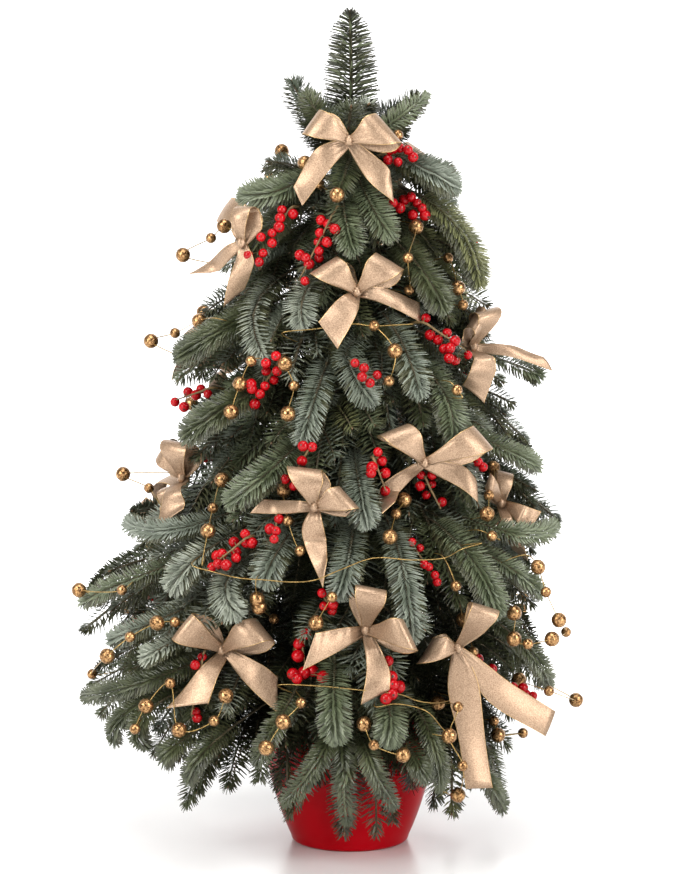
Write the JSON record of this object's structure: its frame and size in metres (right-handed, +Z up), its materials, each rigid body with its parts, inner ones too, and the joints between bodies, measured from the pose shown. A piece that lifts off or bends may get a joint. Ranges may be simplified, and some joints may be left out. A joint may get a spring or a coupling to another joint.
{
  "type": "christmas tree",
  "caption": "Table-top Christmas tree of cut fir sprigs on a foam cone in a round red pot, with gold ribbon bows, red berries and strings of gold beads.",
  "frame": {"origin": "centre of the pot's flat underside, on the tree's upright axis", "axes": "+Z up the tree to its leader, -Y towards the front, where the bows are thickest, +X to the right"},
  "size_m": [0.4152, 0.338, 0.704],
  "materials": {
    "pot": "satin red",
    "foam": "dark green florist's foam, open-pored and matt",
    "needles": "blue-grey green fir needles, slightly waxy",
    "twigs": "brown bark",
    "ribbon": "woven champagne-gold ribbon with a shimmer",
    "berries": "glossy red",
    "beads": "glittered antique gold",
    "wire": "fine bright gold wire"
  },
  "bodies": {
    "root": {"breast_sprig_1": "needles", "breast_sprig_2": "needles", "breast_sprig_3": "needles", "breast_sprig_4": "needles", "breast_sprig_5": "needles", "breast_sprig_6": "needles", "collar_sprig_1": "needles", "collar_sprig_2": "needles", "collar_sprig_3": "needles", "collar_sprig_4": "needles", "collar_sprig_5": "needles", "collar_sprig_6": "needles", "crown_sprig_1": "needles", "crown_sprig_2": "needles", "crown_sprig_3": "needles", "crown_sprig_4": "needles", "foam_cone_trunk": "foam", "hem_sprig_1": "needles", "hem_sprig_2": "needles", "hem_sprig_3": "needles", "hem_sprig_4": "needles", "hem_sprig_5": "needles", "hem_sprig_6": "needles", "hem_sprig_7": "needles", "hip_sprig_1": "needles", "hip_sprig_2": "needles", "hip_sprig_3": "needles", "hip_sprig_4": "needles", "hip_sprig_5": "needles", "hip_sprig_6": "needles", "hip_sprig_7": "needles", "leader": "needles", "neck_sprig_1": "needles", "neck_sprig_2": "needles", "neck_sprig_3": "needles", "neck_sprig_4": "needles", "neck_sprig_5": "needles", "pot": "pot", "pot_filling": "foam", "shoulder_sprig_1": "needles", "shoulder_sprig_2": "needles", "shoulder_sprig_3": "needles", "shoulder_sprig_4": "needles", "shoulder_sprig_5": "needles", "shoulder_sprig_6": "needles", "skirt_sprig_1": "needles", "skirt_sprig_2": "needles", "skirt_sprig_3": "needles", "skirt_sprig_4": "needles", "skirt_sprig_5": "needles", "skirt_sprig_6": "needles", "skirt_sprig_7": "needles", "skirt_sprig_8": "needles", "skirt_sprig_9": "needles", "waist_sprig_1": "needles", "waist_sprig_2": "needles", "waist_sprig_3": "needles", "waist_sprig_4": "needles", "waist_sprig_5": "needles", "waist_sprig_6": "needles"}
  },
  "joints": []
}
